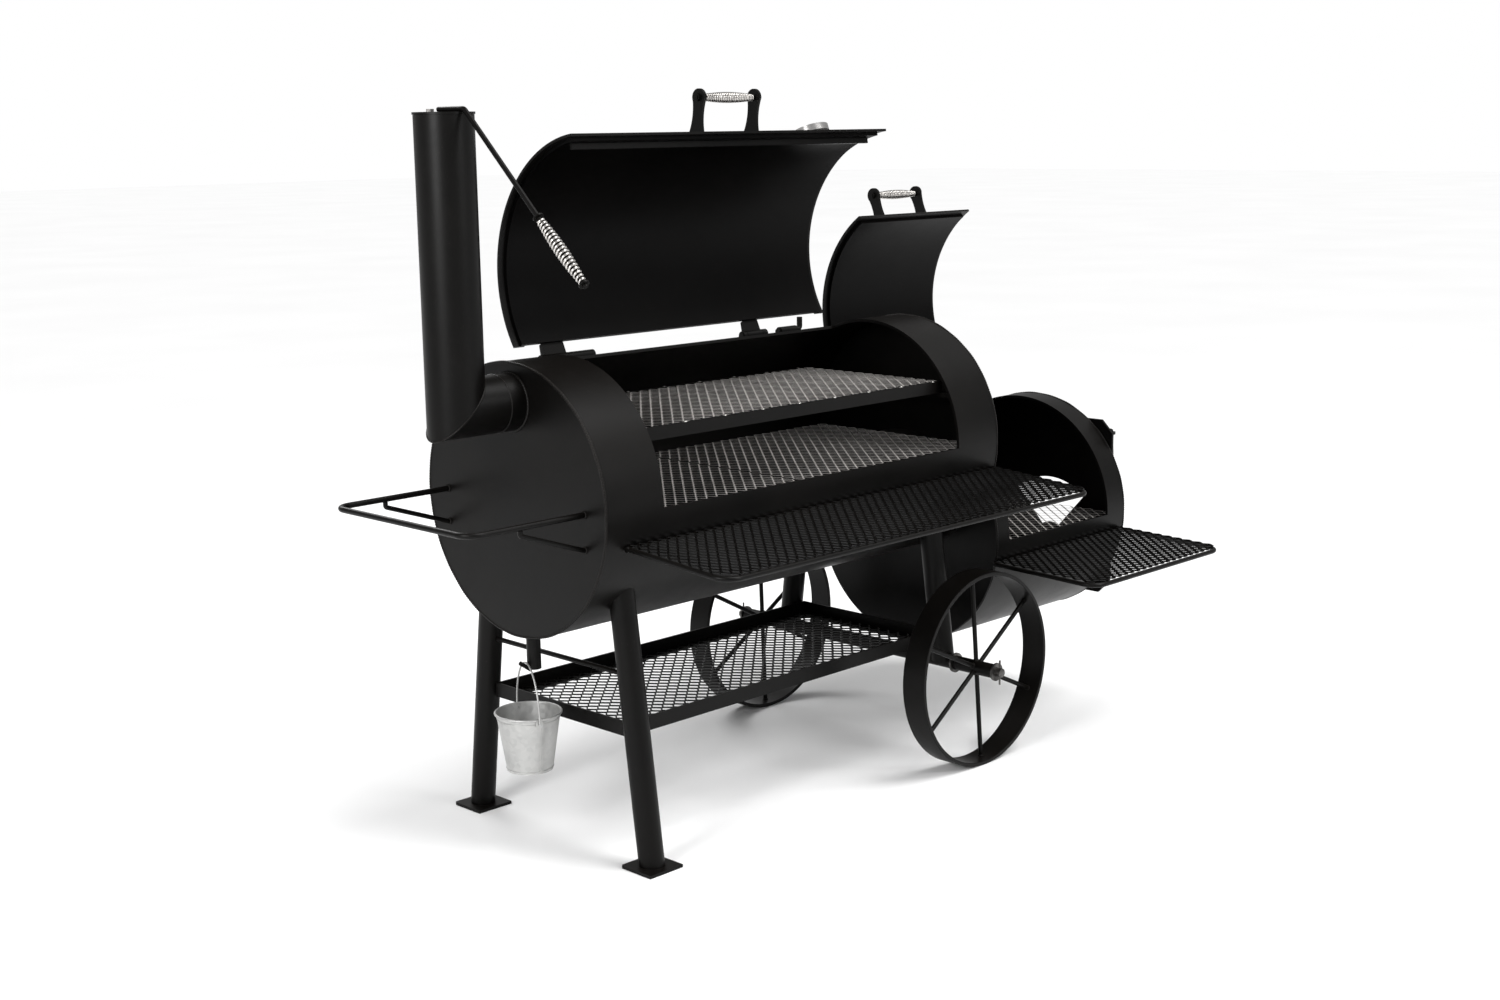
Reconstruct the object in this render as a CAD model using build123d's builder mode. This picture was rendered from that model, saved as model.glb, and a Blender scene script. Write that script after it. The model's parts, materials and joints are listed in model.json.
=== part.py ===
from build123d import *
import os
from math import cos, radians, sin, sqrt, tan

os.makedirs("parts", exist_ok=True)

# ------------------------------------------------------------------ dimensions, mm
# Frame: +X from the chimney end to the firebox end, -Y to the working side, +Z up.
# Sections are drawn in "cooker coordinates": x from the barrel's left end face,
# y from the barrel's axis, z from the floor. at() carries them into the frame.
left_end = -697.75         # frame x of the barrel's left end face
barrel_y = 71.42           # frame y of the barrel's axis

barrel_r = 254.0           # outside radius of both pipes
wall = 6.35                # pipe wall
plate = 6.0                # end plates
barrel_len = 1103.0
barrel_z = 663.0           # height of the cooking barrel's axis
firebox_len = 485.0
firebox_z = 439.0          # height of the firebox's axis
open_x0 = 136.0            # cooking barrel's lid opening
open_x1 = 973.0
fb_open_x0 = 1150.0        # firebox's lid opening
fb_open_x1 = 1521.0
open_top = 113.0           # degrees round from the front
kerf = 0.4                 # degrees left each side of a lid
strip_w = 25.0             # sealing strips round the lids
strip_t = 4.8
strip_lap = 12.0
lid_gap = 0.3
running = 0.06             # radial clearance of hinge pins and pivot bolts

hinge_y = 128.0            # hinge pins, from the pipe's axis
hinge_rise = 231.0
pin_r = 6.0
knuckle_r = 9.3
lid_swing = 100.0          # degrees each lid stands open
fb_swing = 127.0

bolt_h = 74.0              # handle bolt above the lid's face
bolt_s = 13.0              # and above the lid's free edge
bolt_r = 4.1
bolt_hole = 4.2
nut_r = 7.5
nut_t = 5.5
grip_gap = 150.0           # between a handle's two brackets
bracket_t = 6.0
grip_end_r = 6.6           # coil grips: at the ends, at the middle, bore
grip_mid_r = 10.8
grip_bore_r = 4.4

chimney_x = -120.0
chimney_r = 52.5
chimney_wall = 4.0
flue_z = 845.0             # height of the flue stub's axis
chimney_top = 1352.0
damper_pivot_y = 38.0
damper_t = 4.0
damper_bolt_r = 3.6
damper_rod_r = 4.5

leg_r = 24.15
leg_wall = 4.0
leg_x = 91.0
foot_y = 249.4
foot_t = 6.0
splay = 7.3                # degrees
axle_x = 962.0
wheel_r = 206.0
rim_t = 8.0
rim_w = 56.0
wheel_y = 313.0
axle_r = 9.5
hub_r = 15.0
spoke_r = 4.75

shelf_rod = 5.0            # radius of the shelves' rim rods
shelf_corner = 34.0
mesh_t = 3.0               # expanded metal
lower_z = 236.0            # underside of the lower shelf's angle frame
angle_w = 28.0
angle_t = 4.0

door_x = 1590.0
door_t = 6.0
door_half_w = 215.0
door_half_h = 206.0
door_pin_r = 4.5
damper_y = -42.0           # firebox air inlet, on the door
damper_z = 350.0
damper_r = 144.0
shutter_bolt_r = 4.0

bucket_x = 16.0
bucket_top = 264.0
bucket_h = 112.0
bail_turn = 20.7           # degrees the bucket's ears are turned from Y
bail_apex_z = 355.0


def at(x, y, z):
    """Cooker coordinates to frame coordinates."""
    return (left_end + x, barrel_y + y, z)


def section(x):
    """Plane across the barrel at x: local X is frame Y, local Y is height."""
    return Plane(origin=at(x, 0, 0), x_dir=(0, 1, 0), z_dir=(1, 0, 0))


def side(y):
    """Plane along the barrel at y: local X is frame X, local Y is height."""
    return Plane(origin=at(0, y, 0), x_dir=(1, 0, 0), z_dir=(0, -1, 0))


def level(z):
    """Horizontal plane at height z."""
    return Plane(origin=at(0, 0, z))


def swung(x, axis_z, angle):
    """Section plane that carries a closed lid's section to where it stands open."""
    pin_z = axis_z + hinge_rise
    c = cos(radians(angle))
    s = sin(radians(angle))
    oy = hinge_y - hinge_y * c - pin_z * s
    oz = pin_z + hinge_y * s - pin_z * c
    return Plane(origin=at(x, oy, oz), x_dir=(0, c, -s), z_dir=(1, 0, 0))


def rim_point(r, a, zc):
    """Point at radius r and a degrees round from the front of a pipe."""
    return (-r * cos(radians(a)), zc + r * sin(radians(a)))


def ring_sector(r_in, r_out, a0, a1, zc):
    """Flat ring sector between two angles round from the front."""
    mid = (a0 + a1) / 2
    with BuildSketch() as shape:
        with BuildLine():
            ThreePointArc(rim_point(r_out, a0, zc), rim_point(r_out, mid, zc), rim_point(r_out, a1, zc))
            Line(rim_point(r_out, a1, zc), rim_point(r_in, a1, zc))
            ThreePointArc(rim_point(r_in, a1, zc), rim_point(r_in, mid, zc), rim_point(r_in, a0, zc))
            Line(rim_point(r_in, a0, zc), rim_point(r_out, a0, zc))
        make_face()
    return shape.sketch


def opening_wedge(zc):
    """Wedge that cuts a lid opening out of a pipe."""
    reach = 420.0
    with BuildSketch() as shape:
        Polygon(
            (0, zc),
            (-reach, zc),
            (-reach, zc + reach),
            (-reach / tan(radians(open_top)), zc + reach),
            align=None,
        )
    return shape.sketch


def throat():
    """Fire passage: where circles inside both pipes cross."""
    with BuildSketch() as shape:
        with Locations((0, barrel_z)):
            Circle(225)
        with Locations((0, firebox_z)):
            Circle(225, mode=Mode.INTERSECT)
    return shape.sketch


def pipe_shell(x0, length, zc, cut0, cut1):
    """Pipe with its lid opening cut out."""
    with BuildPart() as shell:
        with BuildSketch(section(x0)):
            with Locations((0, zc)):
                Circle(barrel_r)
                Circle(barrel_r - wall, mode=Mode.SUBTRACT)
        extrude(amount=length)
        with BuildSketch(section(cut0)):
            add(opening_wedge(zc))
        extrude(amount=cut1 - cut0, mode=Mode.SUBTRACT)
    return shell.part


def lid_shell(zc, angle, cut0, cut1):
    """Curved lid, the pipe's own wall, standing open."""
    with BuildPart() as lid:
        with BuildSketch(swung(cut0 + 1.5, zc, angle)):
            add(ring_sector(barrel_r - wall, barrel_r + lid_gap, kerf, open_top - kerf, zc))
        extrude(amount=cut1 - cut0 - 3.0)
    return lid.part


def lid_strips(zc, angle, cut0, cut1):
    """Sealing strips along the lid's free edge and its two ends."""
    r_in = barrel_r + lid_gap
    r_out = r_in + strip_t
    with BuildPart() as strips:
        for x in (cut0 - strip_lap, cut1 + strip_lap - strip_w):
            with BuildSketch(swung(x, zc, angle)):
                add(ring_sector(r_in, r_out, -2.6, open_top - kerf, zc))
            extrude(amount=strip_w)
        with BuildSketch(swung(cut0 - strip_lap, zc, angle)):
            add(ring_sector(r_in, r_out, -2.6, 3.0, zc))
        extrude(amount=cut1 - cut0 + 2 * strip_lap)
    return strips.part


def lid_lip(zc, angle, x0, x1):
    """Flat bar that stands inward from the lid just above its free edge."""
    y_wall = -sqrt((barrel_r - wall) ** 2 - 25.0 ** 2)
    with BuildPart() as lip:
        with BuildSketch(swung(x0, zc, angle)):
            Polygon(
                (y_wall, zc + 20),
                (y_wall + 11, zc + 20),
                (y_wall + 11, zc + 25),
                (y_wall, zc + 25),
                align=None,
            )
        extrude(amount=x1 - x0)
    return lip.part


def lid_strap(zc, angle, x, width):
    """Hinge strap with its knuckle, on the lid's outer face."""
    r_in = barrel_r + lid_gap
    with BuildPart() as strap:
        with BuildSketch(swung(x, zc, angle)):
            add(ring_sector(r_in, r_in + 6.0, 92.0, 112.0, zc))
            Polygon(
                (97.5, zc + 234.9),
                (100.0, zc + 240.6),
                (hinge_y, zc + hinge_rise + knuckle_r),
                (hinge_y, zc + hinge_rise),
                (hinge_y - 8.0, zc + hinge_rise - 2.0),
                align=None,
            )
            with Locations((hinge_y, zc + hinge_rise)):
                Circle(knuckle_r)
                Circle(pin_r + running, mode=Mode.SUBTRACT)
        extrude(amount=width)
    return strap.part


def hinge_lug(zc, x, width):
    """Fixed knuckle welded to the pipe, with the pin's hole."""
    with BuildPart() as lug:
        with BuildSketch(section(x)):
            with Locations((hinge_y, zc + hinge_rise)):
                Circle(knuckle_r)
            Polygon(
                (hinge_y - knuckle_r, zc + hinge_rise),
                (hinge_y - 16.0, zc + hinge_rise - 14.0),
                (hinge_y + 14.0, zc + hinge_rise - 26.0),
                (hinge_y + knuckle_r, zc + hinge_rise),
                align=None,
            )
            with Locations((0, zc)):
                Circle(barrel_r, mode=Mode.SUBTRACT)
            with Locations((hinge_y, zc + hinge_rise)):
                Circle(pin_r, mode=Mode.SUBTRACT)
        extrude(amount=width)
    return lug.part


def handle_bracket(zc, angle, x):
    """Flat bracket with a round head and a hollow lower side."""
    r = barrel_r + lid_gap
    y = -(r + bolt_h)
    z = zc + bolt_s
    with BuildPart() as bracket:
        with BuildSketch(swung(x - bracket_t / 2, zc, angle)):
            with BuildLine():
                ThreePointArc((-r + 12, zc + 78), (y + 34, z + 24), (y + 4, z + 16.5))
                ThreePointArc((y + 4, z + 16.5), (y - 17, z), (y + 4, z - 16.5))
                ThreePointArc((y + 4, z - 16.5), (y + 36, z - 2), (-r + 1, zc + 15))
                Line((-r + 1, zc + 15), (-r + 12, zc + 15))
                Line((-r + 12, zc + 15), (-r + 12, zc + 78))
            make_face()
            with Locations((0, zc)):
                Circle(r, mode=Mode.SUBTRACT)
            with Locations((y, z)):
                Circle(bolt_hole, mode=Mode.SUBTRACT)
        extrude(amount=bracket_t)
    return bracket.part


def handle_bolt(zc, angle, xc):
    """Bolt through both brackets, with a head and a nut."""
    y = -(barrel_r + lid_gap + bolt_h)
    half = grip_gap / 2 + bracket_t / 2
    with BuildPart() as bolt:
        with BuildSketch(swung(xc - half - 7, zc, angle)):
            with Locations((y, zc + bolt_s)):
                Circle(bolt_r)
        extrude(amount=2 * half + 14)
        for x in (xc - half - nut_t, xc + half):
            with BuildSketch(swung(x, zc, angle)):
                with Locations((y, zc + bolt_s)):
                    RegularPolygon(nut_r, 6)
            extrude(amount=nut_t)
    return bolt.part


def spindle(length, r_end, r_mid, r_bore):
    """Half section of a coil grip's envelope, for a revolve about local X."""
    with BuildSketch() as shape:
        with BuildLine():
            Line((0, r_bore), (0, r_end))
            ThreePointArc((0, r_end), (length / 2, r_mid), (length, r_end))
            Line((length, r_end), (length, r_bore))
            Line((length, r_bore), (0, r_bore))
        make_face()
    return shape.sketch


def handle_grip(zc, angle, xc):
    """Envelope of the coil spring that wraps the handle bolt."""
    y = -(barrel_r + lid_gap + bolt_h)
    length = grip_gap - bracket_t - 1.0
    base = swung(xc - length / 2, zc, angle)
    start = base.from_local_coords(Vector(y, zc + bolt_s, 0))
    with BuildPart() as grip:
        with BuildSketch(Plane(origin=start, x_dir=(1, 0, 0), z_dir=base.y_dir)):
            add(spindle(length, grip_end_r, grip_mid_r, grip_bore_r))
        revolve(axis=Axis(start, (1, 0, 0)))
    return grip.part


def leg(x, y_sign, z_from):
    """Splayed pipe leg from z_from up to the barrel's underside."""
    lean = Plane(
        origin=at(x, y_sign * (foot_y + foot_t * tan(radians(splay))), 0),
        x_dir=(1, 0, 0),
        z_dir=(0, -y_sign * sin(radians(splay)), cos(radians(splay))),
    )
    with BuildPart() as pipe:
        with BuildSketch(lean.offset(-20)):
            Circle(leg_r)
            Circle(leg_r - leg_wall, mode=Mode.SUBTRACT)
        extrude(amount=560)
        split(bisect_by=level(z_from), keep=Keep.TOP)
        with BuildSketch(section(x - 60)):
            with Locations((0, barrel_z)):
                Circle(barrel_r)
        extrude(amount=120, mode=Mode.SUBTRACT)
        if z_from > 50:
            with BuildSketch(side(0)):
                with Locations((x, wheel_r)):
                    Circle(hub_r)
            extrude(amount=300, both=True, mode=Mode.SUBTRACT)
    return pipe.part


def round_rod(points, r, bend):
    """Round rod along a bent centre line."""
    with BuildPart() as rod:
        with BuildLine() as path:
            FilletPolyline(*points, radius=bend)
        with BuildSketch(Plane(path.line ^ 0)):
            Circle(r)
        sweep()
    return rod.part


def tray_plane(x0, y_back, z_back, drop):
    """Plane of a side shelf that slopes away from the pipe."""
    return Plane(
        origin=at(x0, y_back, z_back),
        x_dir=(1, 0, 0),
        z_dir=(0, -sin(radians(drop)), cos(radians(drop))),
    )


def shelf_frame(x0, x1, y_back, z_back, depth, drop):
    """Round rod bent into a shelf's rim, with a thicker straight rod at the back."""
    width = x1 - x0
    back_r = shelf_rod + 0.3
    overrun = shelf_rod + 0.4
    with BuildPart() as rim:
        with BuildLine(tray_plane(x0, y_back, z_back, drop)) as path:
            FilletPolyline((0, 0), (0, -depth), (width, -depth), (width, 0), radius=shelf_corner)
        with BuildSketch(Plane(path.line ^ 0)):
            Circle(shelf_rod)
        sweep()
        with BuildSketch(section(x0 - overrun)):
            with Locations((y_back, z_back)):
                Circle(back_r)
        extrude(amount=width + 2 * overrun)
    return rim.part


def shelf_mesh(x0, x1, y_back, z_back, depth, drop):
    """Flat sheet of expanded metal lying on a shelf's rim."""
    width = x1 - x0
    with BuildPart() as sheet:
        with BuildSketch(tray_plane(x0, y_back, z_back, drop).offset(shelf_rod + 0.3)):
            with Locations((width / 2, -depth / 2)):
                RectangleRounded(width, depth, shelf_corner - 1)
            with Locations((width / 2, -shelf_corner / 2)):
                Rectangle(width, shelf_corner)
        extrude(amount=mesh_t)
    return sheet.part


# ------------------------------------------------------------------ cooking barrel
with BuildPart() as cooker_shell:
    add(pipe_shell(plate, barrel_len - 2 * plate, barrel_z, open_x0, open_x1))
    with BuildSketch(level(380)):
        with Locations((34, 0)):
            Circle(10.5)
    extrude(amount=60, mode=Mode.SUBTRACT)
cooker_shell.part.label = "cooker_shell"
export_step(cooker_shell.part, "parts/cooker_shell.step")

with BuildPart() as cooker_cap_left:
    with BuildSketch(section(0)):
        with Locations((0, barrel_z)):
            Circle(barrel_r)
        with Locations((0, flue_z)):
            Circle(chimney_r - chimney_wall, mode=Mode.SUBTRACT)
    extrude(amount=plate)
cooker_cap_left.part.label = "cooker_cap_left"
export_step(cooker_cap_left.part, "parts/cooker_cap_left.step")

with BuildPart() as cooker_cap_right:
    with BuildSketch(section(barrel_len - plate)):
        with Locations((0, barrel_z)):
            Circle(barrel_r)
        add(throat(), mode=Mode.SUBTRACT)
    extrude(amount=plate)
cooker_cap_right.part.label = "cooker_cap_right"
export_step(cooker_cap_right.part, "parts/cooker_cap_right.step")

with BuildPart() as baffle:
    with BuildSketch(side(-185)):
        Polygon(
            (barrel_len - plate, 636),
            (barrel_len - plate, 641),
            (880, 566),
            (880, 561),
            align=None,
        )
    extrude(amount=-370)
baffle.part.label = "baffle"
export_step(baffle.part, "parts/baffle.step")

# ------------------------------------------------------------------ firebox
with BuildPart() as firebox_shell:
    add(pipe_shell(barrel_len + plate, firebox_len - 2 * plate, firebox_z, fb_open_x0, fb_open_x1))
firebox_shell.part.label = "firebox_shell"
export_step(firebox_shell.part, "parts/firebox_shell.step")

with BuildPart() as firebox_plate_left:
    with BuildSketch(section(barrel_len)):
        with Locations((0, firebox_z)):
            Circle(barrel_r)
        add(throat(), mode=Mode.SUBTRACT)
    extrude(amount=plate)
firebox_plate_left.part.label = "firebox_plate_left"
export_step(firebox_plate_left.part, "parts/firebox_plate_left.step")

with BuildPart() as firebox_plate_right:
    with BuildSketch(section(barrel_len + firebox_len - plate)):
        with Locations((0, firebox_z)):
            Circle(barrel_r)
        with Locations((0, (290 + 560) / 2)):
            Rectangle(292, 270, mode=Mode.SUBTRACT)
    extrude(amount=plate)
firebox_plate_right.part.label = "firebox_plate_right"
export_step(firebox_plate_right.part, "parts/firebox_plate_right.step")

# ------------------------------------------------------------------ chimney
mitre = Plane(origin=at(chimney_x, 0, flue_z), x_dir=(0, 1, 0), z_dir=(-1, 0, 1))
with BuildPart() as stack_tube:
    with BuildSketch(level(flue_z - 80)):
        with Locations((chimney_x, 0)):
            Circle(chimney_r)
            Circle(chimney_r - chimney_wall, mode=Mode.SUBTRACT)
    extrude(amount=chimney_top - flue_z + 80)
    split(bisect_by=mitre, keep=Keep.TOP)
with BuildPart() as stub_tube:
    with BuildSketch(section(chimney_x - 80)):
        with Locations((0, flue_z)):
            Circle(chimney_r)
            Circle(chimney_r - chimney_wall, mode=Mode.SUBTRACT)
    extrude(amount=80 - chimney_x)
    split(bisect_by=mitre, keep=Keep.BOTTOM)
with BuildPart() as chimney:
    add(stack_tube.part)
    add(stub_tube.part)
    # boss inside the mouth, for the damper's bolt
    with BuildSketch(level(chimney_top - 30)):
        with Locations((chimney_x, damper_pivot_y)):
            Circle(10.4)
            Circle(damper_bolt_r, mode=Mode.SUBTRACT)
    extrude(amount=30)
chimney.part.label = "chimney"
export_step(chimney.part, "parts/chimney.step")

with BuildPart() as damper_bolt:
    with BuildSketch(level(chimney_top - 34)):
        with Locations((chimney_x, damper_pivot_y)):
            Circle(damper_bolt_r)
    extrude(amount=34 + 5)
    with BuildSketch(level(chimney_top + 4.9)):
        with Locations((chimney_x, damper_pivot_y)):
            RegularPolygon(7.2, 6)
    extrude(amount=5)
damper_bolt.part.label = "damper_bolt"
export_step(damper_bolt.part, "parts/damper_bolt.step")

# ------------------------------------------------------------------ stack damper
damper_base = chimney_top + 0.3
with BuildPart() as damper_plate:
    with BuildSketch(level(damper_base)):
        with Locations((chimney_x, 0)):
            Circle(chimney_r + 1.5)
        with Locations((chimney_x, damper_pivot_y)):
            Circle(damper_bolt_r + running, mode=Mode.SUBTRACT)
    extrude(amount=damper_t)
damper_plate.part.label = "damper_plate"
export_step(damper_plate.part, "parts/damper_plate.step")

rod_z = damper_base + damper_t + damper_rod_r
rod_bend = (-58.0, rod_z)
rod_tip = (-359.0, 1075.3)
run_y = rod_tip[0] - rod_bend[0]
run_z = rod_tip[1] - rod_bend[1]
run_len = sqrt(run_y ** 2 + run_z ** 2)
grip_from = 260.0
grip_len = 146.0
grip_dir = Vector(0, run_y / run_len, run_z / run_len)
grip_origin = Vector(*at(chimney_x, *rod_bend)) + grip_dir * grip_from
with BuildPart() as damper_rod:
    add(
        round_rod(
            [
                at(chimney_x, 14, rod_z),
                at(chimney_x, *rod_bend),
                at(chimney_x, *rod_tip),
            ],
            damper_rod_r,
            12,
        )
    )
    for shift in (-4.0, grip_len + 1.0):
        with BuildSketch(Plane(origin=grip_origin + grip_dir * shift, z_dir=grip_dir)):
            Circle(9.5)
        extrude(amount=3)
damper_rod.part.label = "damper_rod"
export_step(damper_rod.part, "parts/damper_rod.step")

with BuildPart() as damper_grip:
    with BuildSketch(Plane(origin=grip_origin, x_dir=grip_dir, z_dir=(1, 0, 0))):
        add(spindle(grip_len, 7.4, 11.6, 4.7))
    revolve(axis=Axis(grip_origin, grip_dir))
damper_grip.part.label = "damper_grip"
export_step(damper_grip.part, "parts/damper_grip.step")

# ------------------------------------------------------------------ main lid
main_mid = (open_x0 + open_x1) / 2
with BuildPart() as main_lid_shell:
    add(lid_shell(barrel_z, lid_swing, open_x0, open_x1))
main_lid_shell.part.label = "main_lid_shell"
export_step(main_lid_shell.part, "parts/main_lid_shell.step")

with BuildPart() as main_lid_strips:
    add(lid_strips(barrel_z, lid_swing, open_x0, open_x1))
main_lid_strips.part.label = "main_lid_strips"
export_step(main_lid_strips.part, "parts/main_lid_strips.step")

with BuildPart() as main_lid_lip:
    add(lid_lip(barrel_z, lid_swing, open_x0 + 14, open_x1 - 14))
main_lid_lip.part.label = "main_lid_lip"
export_step(main_lid_lip.part, "parts/main_lid_lip.step")

with BuildPart() as main_lid_straps:
    add(lid_strap(barrel_z, lid_swing, 187, 55))
    add(lid_strap(barrel_z, lid_swing, 732, 45))
main_lid_straps.part.label = "main_lid_straps"
export_step(main_lid_straps.part, "parts/main_lid_straps.step")

with BuildPart() as main_handle:
    for x in (main_mid - grip_gap / 2, main_mid + grip_gap / 2):
        add(handle_bracket(barrel_z, lid_swing, x))
    add(handle_bolt(barrel_z, lid_swing, main_mid))
main_handle.part.label = "main_handle"
export_step(main_handle.part, "parts/main_handle.step")

with BuildPart() as main_handle_grip:
    add(handle_grip(barrel_z, lid_swing, main_mid))
main_handle_grip.part.label = "main_handle_grip"
export_step(main_handle_grip.part, "parts/main_handle_grip.step")

# Thermometer: case and dial on a stem through the lid.
gauge_x = 822.0
gauge_a = 11.0
gauge_section = swung(gauge_x, barrel_z, lid_swing)
gy, gz = rim_point(barrel_r + lid_gap, gauge_a, barrel_z)
gauge_foot = gauge_section.from_local_coords(Vector(gy, gz, 0))
gauge_axis = gauge_section.from_local_coords(Vector(0, barrel_z, 0))
gauge_out = (gauge_foot - gauge_axis).normalized()
gauge_plane = Plane(origin=gauge_foot, x_dir=(1, 0, 0), z_dir=gauge_out)
with BuildPart() as thermometer_case:
    with BuildSketch(gauge_plane.offset(0.5)):
        Circle(11)
    extrude(amount=9.5)
    with BuildSketch(gauge_plane.offset(10)):
        Circle(38)
    extrude(amount=13)
    with BuildSketch(gauge_plane.offset(20)):
        Circle(34)
    extrude(amount=3, mode=Mode.SUBTRACT)
thermometer_case.part.label = "thermometer_case"
export_step(thermometer_case.part, "parts/thermometer_case.step")

with BuildPart() as thermometer_dial:
    with BuildSketch(gauge_plane.offset(20)):
        Circle(33.9)
    extrude(amount=1.2)
thermometer_dial.part.label = "thermometer_dial"
export_step(thermometer_dial.part, "parts/thermometer_dial.step")

# ------------------------------------------------------------------ firebox lid
fb_mid = (fb_open_x0 + fb_open_x1) / 2
with BuildPart() as firebox_lid_shell:
    add(lid_shell(firebox_z, fb_swing, fb_open_x0, fb_open_x1))
firebox_lid_shell.part.label = "firebox_lid_shell"
export_step(firebox_lid_shell.part, "parts/firebox_lid_shell.step")

with BuildPart() as firebox_lid_strips:
    add(lid_strips(firebox_z, fb_swing, fb_open_x0, fb_open_x1))
firebox_lid_strips.part.label = "firebox_lid_strips"
export_step(firebox_lid_strips.part, "parts/firebox_lid_strips.step")

with BuildPart() as firebox_lid_straps:
    add(lid_strap(firebox_z, fb_swing, 1200, 45))
    add(lid_strap(firebox_z, fb_swing, 1426, 45))
firebox_lid_straps.part.label = "firebox_lid_straps"
export_step(firebox_lid_straps.part, "parts/firebox_lid_straps.step")

with BuildPart() as firebox_handle:
    for x in (fb_mid - grip_gap / 2, fb_mid + grip_gap / 2):
        add(handle_bracket(firebox_z, fb_swing, x))
    add(handle_bolt(firebox_z, fb_swing, fb_mid))
firebox_handle.part.label = "firebox_handle"
export_step(firebox_handle.part, "parts/firebox_handle.step")

with BuildPart() as firebox_handle_grip:
    add(handle_grip(firebox_z, fb_swing, fb_mid))
firebox_handle_grip.part.label = "firebox_handle_grip"
export_step(firebox_handle_grip.part, "parts/firebox_handle_grip.step")

# ------------------------------------------------------------------ fixed hinge parts
main_lugs = [(178, 8), (243, 66), (722, 9), (778, 14)]
fb_lugs = [(1191, 8), (1246, 12), (1413, 12), (1472, 8)]
with BuildPart() as hinge_lugs:
    for x, width in main_lugs:
        add(hinge_lug(barrel_z, x, width))
    for x, width in fb_lugs:
        add(hinge_lug(firebox_z, x, width))
    add(hinge_lug(barrel_z, 835, 50))
hinge_lugs.part.label = "hinge_lugs"
export_step(hinge_lugs.part, "parts/hinge_lugs.step")

pins = [(176, 312, barrel_z), (720, 794, barrel_z), (1189, 1260, firebox_z), (1411, 1482, firebox_z)]
pin_z = barrel_z + hinge_rise
with BuildPart() as hinge_pins:
    for x0, x1, zc in pins:
        with BuildSketch(section(x0)):
            with Locations((hinge_y, zc + hinge_rise)):
                Circle(pin_r)
        extrude(amount=x1 - x0)
    add(
        round_rod(
            [at(829, hinge_y, pin_z), at(899, hinge_y, pin_z), at(899, hinge_y, pin_z + 26)],
            pin_r,
            9,
        )
    )
hinge_pins.part.label = "hinge_pins"
export_step(hinge_pins.part, "parts/hinge_pins.step")

# ------------------------------------------------------------------ grates
grate_z = 652.0
fire_grate_z = 432.0
with BuildPart() as grate_ledges:
    for x0, length, zc, top in (
        (8, barrel_len - 16, barrel_z, grate_z),
        (barrel_len + 8, firebox_len - 16, firebox_z, fire_grate_z),
    ):
        with BuildSketch(section(x0)):
            for y in (-246, 246):
                with Locations((y, top - 4)):
                    Rectangle(24, 8)
            with Locations((0, zc)):
                Circle(barrel_r - wall, mode=Mode.INTERSECT)
        extrude(amount=length)
    # rests of the upper grate, across both ends of the lid opening
    for x in (104, 984):
        with BuildSketch(section(x)):
            with Locations((0, 769)):
                Rectangle(470, 10)
            with Locations((0, barrel_z)):
                Circle(barrel_r - wall, mode=Mode.INTERSECT)
        extrude(amount=18)
grate_ledges.part.label = "grate_ledges"
export_step(grate_ledges.part, "parts/grate_ledges.step")

with BuildPart() as cooking_grate_left:
    with BuildSketch(level(grate_z)):
        with Locations(((10 + 529) / 2, 0)):
            Rectangle(519, 482)
    extrude(amount=mesh_t)
cooking_grate_left.part.label = "cooking_grate_left"
export_step(cooking_grate_left.part, "parts/cooking_grate_left.step")

with BuildPart() as cooking_grate_right:
    with BuildSketch(level(grate_z)):
        with Locations(((532 + 1092) / 2, 0)):
            Rectangle(560, 482)
    extrude(amount=mesh_t)
cooking_grate_right.part.label = "cooking_grate_right"
export_step(cooking_grate_right.part, "parts/cooking_grate_right.step")

upper_z = 796.0
with BuildPart() as upper_grate:
    with BuildSketch(level(upper_z)):
        with Locations(((118 + 988) / 2, -3)):
            Rectangle(870, 376)
    extrude(amount=mesh_t)
upper_grate.part.label = "upper_grate"
export_step(upper_grate.part, "parts/upper_grate.step")

with BuildPart() as upper_grate_bars:
    with BuildSketch(section(118)):
        Polygon((-196, 774), (-196, 799), (-192, 799), (-192, 778), (-172, 778), (-172, 774), align=None)
        Polygon((190, 774), (190, 799), (186, 799), (186, 778), (166, 778), (166, 774), align=None)
    extrude(amount=870)
upper_grate_bars.part.label = "upper_grate_bars"
export_step(upper_grate_bars.part, "parts/upper_grate_bars.step")

with BuildPart() as firebox_grate:
    with BuildSketch(level(fire_grate_z)):
        with Locations((barrel_len + firebox_len / 2, 0)):
            Rectangle(firebox_len - 20, 482)
    extrude(amount=mesh_t)
firebox_grate.part.label = "firebox_grate"
export_step(firebox_grate.part, "parts/firebox_grate.step")

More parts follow.
